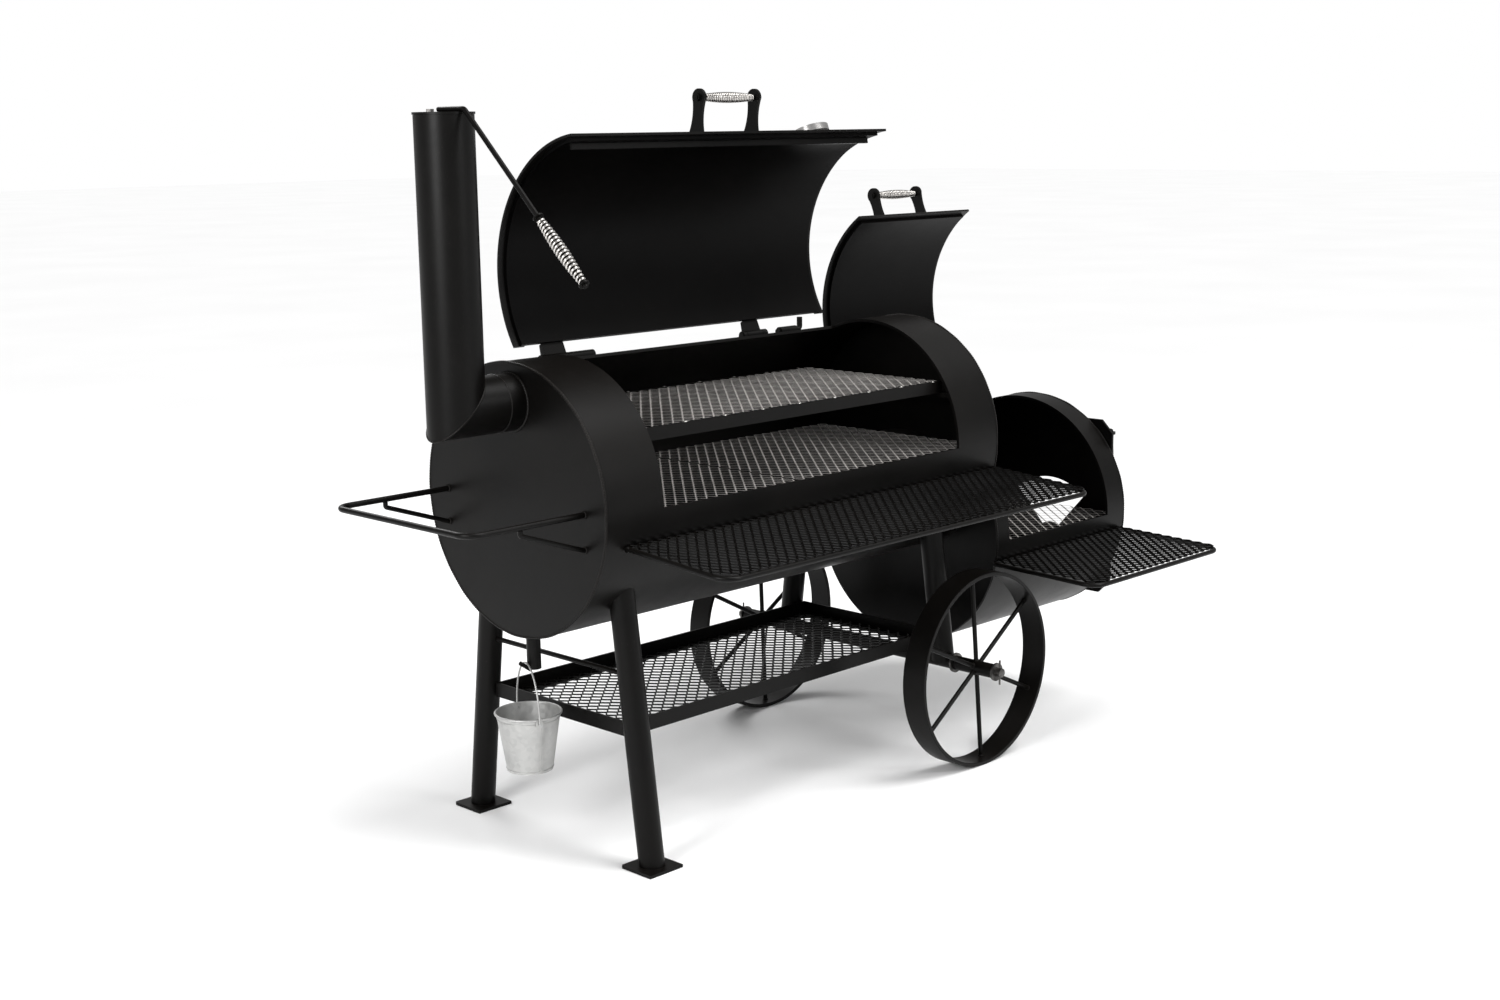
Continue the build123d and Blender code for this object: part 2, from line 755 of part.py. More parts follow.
# ------------------------------------------------------------------ firebox door
door_hinge_z = (360.0, 518.0)
pivot_x = door_x + door_t + 2.0
pivot_y = door_half_w + 8.0
with BuildPart() as firebox_door:
    with BuildSketch(section(door_x)):
        with Locations((0, firebox_z)):
            Rectangle(2 * door_half_w, 2 * door_half_h)
        chamfer(vertices(), 30)
        with Locations((damper_y, damper_z)):
            Circle(shutter_bolt_r, mode=Mode.SUBTRACT)
    extrude(amount=door_t)
    with BuildSketch(section(door_x)):
        with BuildLine():
            inner = 34.0
            a = radians(48)
            Line(
                (damper_y - inner * cos(a), damper_z + inner * sin(a)),
                (damper_y - damper_r * cos(a), damper_z + damper_r * sin(a)),
            )
            ThreePointArc(
                (damper_y - damper_r * cos(a), damper_z + damper_r * sin(a)),
                (damper_y, damper_z + damper_r),
                (damper_y + damper_r * cos(a), damper_z + damper_r * sin(a)),
            )
            Line(
                (damper_y + damper_r * cos(a), damper_z + damper_r * sin(a)),
                (damper_y + inner * cos(a), damper_z + inner * sin(a)),
            )
            ThreePointArc(
                (damper_y + inner * cos(a), damper_z + inner * sin(a)),
                (damper_y, damper_z + inner),
                (damper_y - inner * cos(a), damper_z + inner * sin(a)),
            )
        make_face()
    extrude(amount=door_t, mode=Mode.SUBTRACT)

    for z in door_hinge_z:
        with BuildSketch(level(z - 14)):
            with Locations((pivot_x, pivot_y)):
                Circle(8)
            with Locations((pivot_x - 2, pivot_y - 24)):
                Rectangle(11.9, 40)
            with Locations((door_x + door_t / 2 - 3, door_half_w - 22)):
                Rectangle(door_t + 6, 60, mode=Mode.SUBTRACT)
            with Locations((pivot_x, pivot_y)):
                Circle(door_pin_r + running, mode=Mode.SUBTRACT)
        extrude(amount=28)
firebox_door.part.label = "firebox_door"
export_step(firebox_door.part, "parts/firebox_door.step")

# Fixed ears that carry the door's pins, welded to the firebox's end plate.
with BuildPart() as door_ears:
    for z in door_hinge_z:
        for dz in (-24.4, 14.4):
            with BuildSketch(level(z + dz)):
                with Locations((pivot_x, pivot_y)):
                    Circle(7.5)
                with Locations((pivot_x - 5, pivot_y + 1)):
                    Rectangle(10, 13)
                with Locations((pivot_x, pivot_y)):
                    Circle(door_pin_r, mode=Mode.SUBTRACT)
            extrude(amount=10)
    for z in door_hinge_z:
        with BuildSketch(level(z - 26)):
            with Locations((pivot_x, pivot_y)):
                Circle(door_pin_r)
        extrude(amount=52)
door_ears.part.label = "door_ears"
export_step(door_ears.part, "parts/door_ears.step")

door_face = door_x + door_t
latch_x = door_face + 44
latch_y = -175.0
latch_z = (487.0, 607.0)
latch_grip_z = latch_z[0] + 3.5
with BuildPart() as door_handle:
    for z in latch_z:
        with BuildSketch(level(z - bracket_t / 2)):
            with Locations((door_face + 22, latch_y)):
                Rectangle(44, 26)
            with Locations((latch_x, latch_y)):
                Circle(13)
                Circle(bolt_hole, mode=Mode.SUBTRACT)
        extrude(amount=bracket_t)
    with BuildSketch(level(latch_z[0] - 10)):
        with Locations((latch_x, latch_y)):
            Circle(bolt_r)
    extrude(amount=140)
    for z in (latch_z[0] - bracket_t / 2 - nut_t, latch_z[1] + bracket_t / 2):
        with BuildSketch(level(z)):
            with Locations((latch_x, latch_y)):
                RegularPolygon(nut_r, 6)
        extrude(amount=nut_t)
door_handle.part.label = "door_handle"
export_step(door_handle.part, "parts/door_handle.step")

with BuildPart() as door_handle_grip:
    latch_foot = at(latch_x, latch_y, latch_grip_z)
    with BuildSketch(Plane(origin=latch_foot, x_dir=(0, 0, 1), z_dir=(0, 1, 0))):
        add(spindle(113, grip_end_r, grip_mid_r, grip_bore_r))
    revolve(axis=Axis(latch_foot, (0, 0, 1)))
door_handle_grip.part.label = "door_handle_grip"
export_step(door_handle_grip.part, "parts/door_handle_grip.step")

# Quadrant shutter over the air inlet, swung aside towards the front.
with BuildPart() as air_shutter:
    with BuildSketch(section(door_face + 0.3)):
        with Locations((damper_y, damper_z)):
            Circle(26)
        with BuildLine():
            reach = damper_r + 7
            a = radians(49)
            Line((damper_y, damper_z), (damper_y - reach * cos(a), damper_z + reach * sin(a)))
            ThreePointArc(
                (damper_y - reach * cos(a), damper_z + reach * sin(a)),
                (damper_y - reach, damper_z),
                (damper_y - reach * cos(a), damper_z - reach * sin(a)),
            )
            Line((damper_y - reach * cos(a), damper_z - reach * sin(a)), (damper_y, damper_z))
        make_face()
        with Locations((damper_y, damper_z)):
            Circle(shutter_bolt_r + running, mode=Mode.SUBTRACT)
    extrude(amount=3)
    with BuildSketch(section(door_face + 3.3)):
        with Locations((damper_y - 118, damper_z)):
            Circle(7)
    extrude(amount=22)
air_shutter.part.label = "air_shutter"
export_step(air_shutter.part, "parts/air_shutter.step")

with BuildPart() as shutter_bolt:
    with BuildSketch(section(door_x - 5)):
        with Locations((damper_y, damper_z)):
            Circle(shutter_bolt_r)
    extrude(amount=door_t + 5 + 3.6)
    with BuildSketch(section(door_face + 3.6)):
        with Locations((damper_y, damper_z)):
            RegularPolygon(8, 6)
    extrude(amount=5.5)
shutter_bolt.part.label = "shutter_bolt"
export_step(shutter_bolt.part, "parts/shutter_bolt.step")

# ------------------------------------------------------------------ stand
brace_z = 354.0
brace_end = leg_r / cos(radians(splay)) + 0.65
brace_y = foot_y - (brace_z - foot_t) * tan(radians(splay)) - brace_end
with BuildPart() as legs_left:
    add(leg(leg_x, -1, foot_t))
    add(leg(leg_x, 1, foot_t))
    with BuildSketch(side(-brace_y)):
        with Locations((leg_x, brace_z)):
            Circle(spoke_r)
    extrude(amount=-2 * brace_y)
legs_left.part.label = "legs_left"
export_step(legs_left.part, "parts/legs_left.step")

with BuildPart() as legs_right:
    add(leg(axle_x, -1, wheel_r))
    add(leg(axle_x, 1, wheel_r))
legs_right.part.label = "legs_right"
export_step(legs_right.part, "parts/legs_right.step")

with BuildPart() as foot_plates:
    for y in (-foot_y, foot_y):
        with BuildSketch(level(0)):
            with Locations((leg_x, y)):
                Rectangle(80, 80)
            chamfer(vertices().filter_by_position(Axis.Y, y + barrel_y - 41, y + barrel_y + 41), 3)
        extrude(amount=foot_t)
foot_plates.part.label = "foot_plates"
export_step(foot_plates.part, "parts/foot_plates.step")

lower_x0 = 90.0
lower_x1 = 975.0
lower_y = 191.95
lower_mid = (lower_x0 + lower_x1) / 2
with BuildPart() as lower_shelf_frame:
    with BuildSketch(level(lower_z)):
        with Locations((lower_mid, 0)):
            Rectangle(lower_x1 - lower_x0, 2 * lower_y)
            Rectangle(lower_x1 - lower_x0 - 2 * angle_w, 2 * (lower_y - angle_w), mode=Mode.SUBTRACT)
    extrude(amount=angle_t)
    with BuildSketch(level(lower_z)):
        with Locations((lower_mid, 0)):
            Rectangle(lower_x1 - lower_x0, 2 * lower_y)
            Rectangle(lower_x1 - lower_x0 - 2 * angle_t, 2 * (lower_y - angle_t), mode=Mode.SUBTRACT)
    extrude(amount=angle_w)
lower_shelf_frame.part.label = "lower_shelf_frame"
export_step(lower_shelf_frame.part, "parts/lower_shelf_frame.step")

with BuildPart() as lower_shelf_mesh:
    with BuildSketch(level(lower_z + angle_t)):
        with Locations((lower_mid, 0)):
            Rectangle(lower_x1 - lower_x0 - 2 * angle_t - 1, 2 * (lower_y - angle_t) - 1)
    extrude(amount=mesh_t)
lower_shelf_mesh.part.label = "lower_shelf_mesh"
export_step(lower_shelf_mesh.part, "parts/lower_shelf_mesh.step")

# ------------------------------------------------------------------ axle and wheels
with BuildPart() as axle_tube:
    with BuildSketch(side(-256)):
        with Locations((axle_x, wheel_r)):
            Circle(hub_r)
            Circle(axle_r, mode=Mode.SUBTRACT)
    extrude(amount=-512)
axle_tube.part.label = "axle_tube"
export_step(axle_tube.part, "parts/axle_tube.step")

with BuildPart() as axle:
    with BuildSketch(side(-380)):
        with Locations((axle_x, wheel_r)):
            Circle(axle_r)
    extrude(amount=-760)
    for y in (-374, 374):
        with BuildSketch(Plane(origin=at(axle_x, y, wheel_r - 26), z_dir=(0, 0, 1))):
            Circle(2)
        extrude(amount=52)
    for y0, r in ((-260, 21), (256, 21), (-367, 19), (363, 19)):
        with BuildSketch(side(y0)):
            with Locations((axle_x, wheel_r)):
                Circle(r)
        extrude(amount=-4)
axle.part.label = "axle"
export_step(axle.part, "parts/axle.step")

for name, y_mid, turn in (("front", -wheel_y, 35.0), ("rear", wheel_y, 32.0)):
    with BuildPart() as rim:
        with BuildSketch(side(y_mid - rim_w / 2)):
            with Locations((axle_x, wheel_r)):
                Circle(wheel_r)
                Circle(wheel_r - rim_t, mode=Mode.SUBTRACT)
        extrude(amount=-rim_w)
        fillet(rim.edges().filter_by(GeomType.CIRCLE), 1.2)
    rim.part.label = "wheel_rim_" + name
    export_step(rim.part, "parts/wheel_rim_" + name + ".step")

    with BuildPart() as spider:
        with BuildSketch(side(y_mid - (49.6 if y_mid < 0 else 52.6))):
            with Locations((axle_x, wheel_r)):
                Circle(hub_r)
        extrude(amount=-102.2)
        for k in range(6):
            a = radians(turn + 60 * k)
            out = Vector(cos(a), 0, sin(a))
            hub = Vector(*at(axle_x, y_mid, wheel_r)) + out * 6
            with BuildSketch(Plane(origin=hub, z_dir=out)):
                Circle(spoke_r)
            extrude(amount=wheel_r - rim_t - 6.0)
        with BuildSketch(side(y_mid - 80)):
            with Locations((axle_x, wheel_r)):
                Circle(axle_r + 0.08)
        extrude(amount=-160, mode=Mode.SUBTRACT)
        with BuildSketch(side(y_mid - 80)):
            with Locations((axle_x, wheel_r)):
                Circle(wheel_r + 20)
                Circle(wheel_r - rim_t, mode=Mode.SUBTRACT)
        extrude(amount=-160, mode=Mode.SUBTRACT)
    spider.part.label = "wheel_spokes_" + name
    export_step(spider.part, "parts/wheel_spokes_" + name + ".step")

# ------------------------------------------------------------------ side shelves
front_shelf = (52.0, 1100.0, -251.85, 601.0, 244.0, 4.6)
firebox_shelf = (1092.0, 1572.0, -255.95, 397.0, 262.0, 2.0)
with BuildPart() as front_shelf_frame:
    add(shelf_frame(*front_shelf))
front_shelf_frame.part.label = "front_shelf_frame"
export_step(front_shelf_frame.part, "parts/front_shelf_frame.step")

with BuildPart() as front_shelf_mesh:
    add(shelf_mesh(*front_shelf))
    with BuildSketch(section(0)):
        with Locations((0, barrel_z)):
            Circle(barrel_r)
    extrude(amount=barrel_len, mode=Mode.SUBTRACT)
front_shelf_mesh.part.label = "front_shelf_mesh"
export_step(front_shelf_mesh.part, "parts/front_shelf_mesh.step")

with BuildPart() as firebox_shelf_frame:
    add(shelf_frame(*firebox_shelf))
firebox_shelf_frame.part.label = "firebox_shelf_frame"
export_step(firebox_shelf_frame.part, "parts/firebox_shelf_frame.step")

with BuildPart() as firebox_shelf_mesh:
    add(shelf_mesh(*firebox_shelf))
    with BuildSketch(section(barrel_len)):
        with Locations((0, firebox_z)):
            Circle(barrel_r)
    extrude(amount=firebox_len, mode=Mode.SUBTRACT)
firebox_shelf_mesh.part.label = "firebox_shelf_mesh"
export_step(firebox_shelf_mesh.part, "parts/firebox_shelf_mesh.step")

# ------------------------------------------------------------------ push handle
push_y = 196.0
push_x = -252.0
with BuildPart() as push_handle:
    add(
        round_rod(
            [
                at(0, push_y, barrel_z),
                at(push_x, push_y, barrel_z),
                at(push_x, -push_y, barrel_z),
                at(0, -push_y, barrel_z),
            ],
            5.5,
            30,
        )
    )
    for y in (-push_y, push_y):
        add(round_rod([at(-143, y, barrel_z - 5.6), at(-143, y, barrel_z - 15), at(6, y, 597)], 4.5, 5))
    split(bisect_by=section(0), keep=Keep.BOTTOM)
push_handle.part.label = "push_handle"
export_step(push_handle.part, "parts/push_handle.step")

# ------------------------------------------------------------------ drain and bucket
drain_x = 34.0
hook_dir = Vector(-0.82, 0, 0.5724)
hook_mid = Vector(*at(bucket_x - 3.3, 0, bail_apex_z - 5.2))
with BuildPart() as drain_pipe:
    with BuildSketch(level(342)):
        with Locations((drain_x, 0)):
            Circle(13.35)
            Circle(10.5, mode=Mode.SUBTRACT)
    extrude(amount=90)
    with BuildSketch(section(0)):
        with Locations((0, barrel_z)):
            Circle(barrel_r)
    extrude(amount=200, mode=Mode.SUBTRACT)
    with BuildSketch(Plane(origin=hook_mid - hook_dir * 16, z_dir=hook_dir)):
        Circle(4)
    extrude(amount=30)
    with BuildSketch(level(330)):
        with Locations((drain_x, 0)):
            Circle(10.5)
    extrude(amount=80, mode=Mode.SUBTRACT)
drain_pipe.part.label = "drain_pipe"
export_step(drain_pipe.part, "parts/drain_pipe.step")

ear_dir = Vector(sin(radians(bail_turn)), cos(radians(bail_turn)), 0)
ear_z = bucket_top - 9.0
bucket_mid = Vector(*at(bucket_x, 0, 0))
r_low = 43.0
r_high = 60.0
skin = 1.2
lean = (r_high - r_low) / bucket_h
with BuildPart() as bucket:
    with BuildSketch(Plane(origin=bucket_mid, x_dir=ear_dir, z_dir=Vector(0, 0, 1).cross(ear_dir) * -1)):
        z0 = bucket_top - bucket_h
        Polygon(
            (0, z0 + 3),
            (r_low - 1 + lean * 3 - skin, z0 + 3),
            (r_high - skin, bucket_top - 2),
            (r_high, bucket_top - 2),
            (r_low, z0),
            (r_low - skin, z0),
            (r_low - skin, z0 + 1.8),
            (0, z0 + 1.8),
            align=None,
        )
        with Locations((r_high + 1.2, bucket_top - 2.4)):
            Circle(2.4)
    revolve(axis=Axis(bucket_mid, (0, 0, 1)))
    for sgn in (-1, 1):
        lug = bucket_mid + ear_dir * (sgn * 58.2) + Vector(0, 0, ear_z)
        with BuildSketch(Plane(origin=lug, x_dir=(0, 0, 1), z_dir=ear_dir * sgn)):
            RectangleRounded(15, 13, 4)
            Circle(2.2, mode=Mode.SUBTRACT)
        extrude(amount=5.6)
        with BuildSketch(Plane(origin=bucket_mid + Vector(0, 0, ear_z), z_dir=ear_dir * sgn)):
            Circle(1.56)
        extrude(amount=80, mode=Mode.SUBTRACT)
bucket.part.label = "bucket"
export_step(bucket.part, "parts/bucket.step")

bail_half = 67.0
bail_rise = bail_apex_z - ear_z
bail_foot = bucket_mid + Vector(0, 0, ear_z)
bail_plane = Plane(origin=bail_foot, x_dir=ear_dir, z_dir=ear_dir.cross(Vector(0, 0, 1)))
with BuildPart() as bucket_bail:
    with BuildLine(bail_plane) as bow:
        EllipticalCenterArc((0, 0), bail_half, bail_rise, start_angle=0, arc_size=180)
    with BuildSketch(Plane(bow.line ^ 0)):
        Circle(1.7)
    sweep()
    for sgn in (-1, 1):
        tip = bucket_mid + ear_dir * (sgn * (bail_half + 0.6)) + Vector(0, 0, ear_z)
        with BuildSketch(Plane(origin=tip, z_dir=ear_dir * -sgn)):
            Circle(1.5)
        extrude(amount=8.4)
bucket_bail.part.label = "bucket_bail"
export_step(bucket_bail.part, "parts/bucket_bail.step")
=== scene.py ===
"""Looks of the offset smoker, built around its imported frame."""

import json
import logging
import math
from dataclasses import dataclass
from enum import Enum
from typing import Callable, Iterable, Sequence

import bpy
from mathutils import Matrix, Vector


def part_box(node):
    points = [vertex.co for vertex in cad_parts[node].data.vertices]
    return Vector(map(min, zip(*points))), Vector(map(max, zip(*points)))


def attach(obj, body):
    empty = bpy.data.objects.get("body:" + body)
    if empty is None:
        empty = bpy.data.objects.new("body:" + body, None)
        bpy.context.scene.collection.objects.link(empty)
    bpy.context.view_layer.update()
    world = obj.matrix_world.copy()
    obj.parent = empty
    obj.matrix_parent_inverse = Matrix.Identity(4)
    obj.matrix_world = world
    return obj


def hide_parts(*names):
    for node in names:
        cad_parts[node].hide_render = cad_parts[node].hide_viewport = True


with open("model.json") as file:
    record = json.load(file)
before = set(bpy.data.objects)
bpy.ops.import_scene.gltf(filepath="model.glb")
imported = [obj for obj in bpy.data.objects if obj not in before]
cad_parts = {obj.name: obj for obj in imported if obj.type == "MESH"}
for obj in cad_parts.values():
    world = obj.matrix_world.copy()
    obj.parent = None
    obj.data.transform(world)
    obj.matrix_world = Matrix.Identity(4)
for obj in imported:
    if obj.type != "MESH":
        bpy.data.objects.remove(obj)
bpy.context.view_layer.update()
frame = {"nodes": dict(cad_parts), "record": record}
LOG = logging.getLogger("smoker")
Colour = tuple[float, float, float]
TAU = 2 * math.pi


class Part(Enum):
    """Rigid bodies that made pieces ride on."""

    STAND = "smoker"
    MAIN_LID = "main_lid"
    FIREBOX_LID = "firebox_lid"
    DOOR = "door"
    STACK_DAMPER = "stack_damper"
    FRONT_WHEEL = "front_wheel"
    REAR_WHEEL = "rear_wheel"
    PAIL = "pail"


class Run(Enum):
    """Direction that a straight grip runs in."""

    ALONG = (1.0, 0.0, 0.0)
    UP = (0.0, 0.0, 1.0)
    SLOPE = (0.0, -0.7255, -0.6881)


# ---------------------------------------------------------------- shader expressions
@dataclass(frozen=True)
class Signal:
    """A shader value that can be used in Python expressions."""

    desk: "Desk"
    socket: bpy.types.NodeSocket

    def _math(self, operation: str, first: object, second: object) -> "Signal":
        """Add one Math node.

        Args:
            operation: the node's operation.
            first: first value or signal.
            second: second value or signal.

        Returns:
            The node's result.
        """
        return self.desk.node("ShaderNodeMath", {"operation": operation}, {0: first, 1: second})

    def __add__(self, other: object) -> "Signal":
        """Sum."""
        return self._math("ADD", self, other)

    def __radd__(self, other: object) -> "Signal":
        """Reflected sum."""
        return self._math("ADD", other, self)

    def __sub__(self, other: object) -> "Signal":
        """Difference."""
        return self._math("SUBTRACT", self, other)

    def __rsub__(self, other: object) -> "Signal":
        """Reflected difference."""
        return self._math("SUBTRACT", other, self)

    def __mul__(self, other: object) -> "Signal":
        """Product."""
        return self._math("MULTIPLY", self, other)

    def __rmul__(self, other: object) -> "Signal":
        """Reflected product."""
        return self._math("MULTIPLY", other, self)


class Desk:
    """Node tree of one material, with its Principled shader."""

    def __init__(self, name: str) -> None:
        """Start an empty material.

        Args:
            name: the material's name.
        """
        self.material = bpy.data.materials.new(name)
        self.material.use_nodes = True
        self.tree = self.material.node_tree
        self.shader = self.tree.nodes["Principled BSDF"]

    def node(
        self,
        kind: str,
        settings: dict | None = None,
        inputs: dict | None = None,
        out: object = 0,
    ) -> Signal:
        """Add a node.

        Args:
            kind: node type.
            settings: attributes set first; "stops" fills a colour ramp.
            inputs: values, colours or signals by socket name or number.
            out: output socket's name or number.

        Returns:
            The chosen output.
        """
        made = self.tree.nodes.new(kind)
        for key, value in (settings or {}).items():
            if key == "stops":
                for index, (place, colour) in enumerate(value):
                    ramp = made.color_ramp.elements
                    stop = ramp[index] if index < 2 else ramp.new(place)
                    stop.position = place
                    stop.color = (*colour, 1.0)
            else:
                setattr(made, key, value)
        for key, value in (inputs or {}).items():
            if isinstance(value, Signal):
                self.tree.links.new(value.socket, made.inputs[key])
            else:
                made.inputs[key].default_value = value
        return Signal(self, made.outputs[out])

    def place(self) -> Signal:
        """Position in the object's own frame."""
        return self.node("ShaderNodeTexCoord", out="Object")

    def noise(self, scale: float, detail: float = 3.0, rough: float = 0.5) -> Signal:
        """Noise in metres.

        Args:
            scale: cycles per metre.
            detail: octaves.
            rough: strength of the small octaves.

        Returns:
            The noise value, 0 to 1.
        """
        inputs = {"Vector": self.place(), "Scale": scale, "Detail": detail, "Roughness": rough}
        return self.node("ShaderNodeTexNoise", inputs=inputs)

    def remap(
        self,
        value: Signal,
        low: float,
        high: float,
        to_low: float = 0.0,
        to_high: float = 1.0,
    ) -> Signal:
        """Clamped linear remap.

        Args:
            value: the signal.
            low: input that gives to_low.
            high: input that gives to_high.
            to_low: lowest result.
            to_high: highest result.

        Returns:
            The remapped signal.
        """
        return self.node("ShaderNodeMapRange", inputs={0: value, 1: low, 2: high, 3: to_low, 4: to_high})

    def mix(self, factor: object, first: object, second: object) -> Signal:
        """Mix two colours.

        Args:
            factor: share of the second.
            first: colour or signal.
            second: colour or signal.

        Returns:
            The mixed colour.
        """
        sides = [(*c, 1.0) if isinstance(c, tuple) else c for c in (first, second)]
        return self.node("ShaderNodeMix", {"data_type": "RGBA"}, {0: factor, 6: sides[0], 7: sides[1]}, out=2)

    def bump(self, height: Signal, strength: float, distance: float) -> Signal:
        """Surface relief.

        Args:
            height: relief, 0 to 1.
            strength: effect, 0 to 1.
            distance: depth in metres.

        Returns:
            The bent normal.
        """
        inputs = {"Strength": strength, "Distance": distance, "Height": height}
        return self.node("ShaderNodeBump", inputs=inputs)

    def finish(self, **sockets: object) -> bpy.types.Material:
        """Feed the shader.

        Args:
            sockets: Principled inputs, with _ for a space.

        Returns:
            The material.
        """
        for key, value in sockets.items():
            target = self.shader.inputs[key.replace("_", " ")]
            if isinstance(value, Signal):
                self.tree.links.new(value.socket, target)
            else:
                target.default_value = (*value, 1.0) if isinstance(value, tuple) else value
        return self.material


# ---------------------------------------------------------------- finishes
@dataclass(frozen=True)
class StovePaint:
    """Satin heat-proof paint with dust, a painted sheen that lightens up-facing surfaces, and a faint orange
    peel.
    """

    name: str = "stove_paint"
    dark: Colour = (0.0014, 0.0013, 0.0012)
    # Lighter tint for dust and for the painted sheen on up-facing surfaces.
    dust_and_sheen_tint: Colour = (0.0058, 0.0048, 0.0040)
    low_gloss: float = 0.46
    high_gloss: float = 0.34
    reflect: float = 0.12

    def make(self) -> bpy.types.Material:
        """Build the material."""
        desk = Desk(self.name)
        clouds = desk.remap(desk.noise(3.2, 5.0, 0.62), 0.38, 0.66)
        streaks = desk.remap(desk.noise(17.0, 4.0, 0.7), 0.44, 0.70)
        normal = desk.node("ShaderNodeNewGeometry", out="Normal")
        up = desk.node("ShaderNodeSeparateXYZ", inputs={0: normal}, out=2)
        # Up-facing surfaces turn towards the lighter tint as a painted sheen of light from above; the noise
        # clouds add random dust.
        dust_and_sheen = desk.remap(up, 0.2, 1.0) * 0.45 + clouds * 0.3
        specks = desk.remap(desk.noise(260.0, 2.0), 0.69, 0.76)
        colour = desk.mix(dust_and_sheen, self.dark, self.dust_and_sheen_tint)
        colour = desk.mix(specks * 0.35, colour, (0.020, 0.017, 0.015))
        gloss = desk.remap(clouds * 0.6 + streaks * 0.4, 0.0, 1.0, self.high_gloss, self.low_gloss)
        peel = desk.noise(520.0, 2.0) * 0.7 + desk.noise(95.0, 2.0) * 0.3
        return desk.finish(
            Base_Color=colour,
            Roughness=gloss,
            Metallic=0.0,
            Normal=desk.bump(peel, 0.22, 0.0006),
            Specular_IOR_Level=self.reflect,
        )


@dataclass(frozen=True)
class BareSteel:
    """Bare or oiled steel with rolling marks and rust freckles."""

    name: str
    bright: Colour
    dull: Colour
    shine: float = 0.34
    rust: float = 0.25
    grain: float = 60.0
    metal: float = 1.0

    def make(self) -> bpy.types.Material:
        """Build the material."""
        desk = Desk(self.name)
        tone = desk.remap(desk.noise(self.grain, 5.0, 0.65), 0.34, 0.66)
        freckle = desk.remap(desk.noise(140.0, 4.0, 0.7), 0.58, 0.72) * self.rust
        colour = desk.mix(freckle, desk.mix(tone, self.dull, self.bright), (0.085, 0.045, 0.024))
        rough = desk.remap(tone, 0.0, 1.0, self.shine + 0.16, self.shine) + freckle * 0.5
        return desk.finish(
            Base_Color=colour,
            Roughness=rough,
            Metallic=self.metal - freckle * 0.8 * self.metal,
            Normal=desk.bump(desk.noise(700.0, 2.0), 0.18, 0.0003),
        )


@dataclass(frozen=True)
class Galvanised:
    """Zinc-coated sheet with a soft spangle."""

    name: str = "galvanised_sheet"

    def make(self) -> bpy.types.Material:
        """Build the material."""
        desk = Desk(self.name)
        inputs = {"Vector": desk.place(), "Scale": 115.0}
        cells = desk.node("ShaderNodeTexVoronoi", inputs=inputs, out="Color")
        value = desk.node("ShaderNodeSeparateColor", inputs={0: cells})
        spangle = desk.remap(value, 0.0, 1.0)
        cloud = desk.remap(desk.noise(28.0, 4.0), 0.35, 0.65)
        colour = desk.mix(spangle * 0.6 + cloud * 0.4, (0.36, 0.36, 0.355), (0.47, 0.47, 0.46))
        return desk.finish(
            Base_Color=colour,
            Roughness=desk.remap(spangle, 0.0, 1.0, 0.36, 0.52),
            Metallic=0.60,
            Normal=desk.bump(spangle, 0.10, 0.0003),
        )


@dataclass(frozen=True)
class Enamel:
    """Glossy enamel or printed face."""

    name: str
    colour: Colour

    def make(self) -> bpy.types.Material:
        """Build the material."""
        desk = Desk(self.name)
        tone = desk.remap(desk.noise(45.0, 3.0), 0.3, 0.7, 0.88, 1.0)
        colour = desk.mix(tone, tuple(0.6 * c for c in self.colour), self.colour)
        return desk.finish(Base_Color=colour, Roughness=desk.remap(tone, 0.88, 1.0, 0.34, 0.24))


@dataclass(frozen=True)
class ClearGlass:
    """Thin window of a dial."""

    name: str = "dial_glass"

    def make(self) -> bpy.types.Material:
        """Build the material."""
        desk = Desk(self.name)
        smears = desk.remap(desk.noise(60.0, 3.0), 0.4, 0.7, 0.02, 0.10)
        return desk.finish(Base_Color=(0.95, 0.97, 0.96), Roughness=smears, Alpha=0.16)


@dataclass(frozen=True)
class PaleGround:
    """Pale studio floor."""

    name: str = "pale_ground"

    def make(self) -> bpy.types.Material:
        """Build the material."""
        desk = Desk(self.name)
        tone = desk.remap(desk.noise(0.8, 3.0), 0.3, 0.7)
        return desk.finish(Base_Color=desk.mix(tone, (0.87, 0.87, 0.87), (0.90, 0.90, 0.90)), Roughness=0.9)


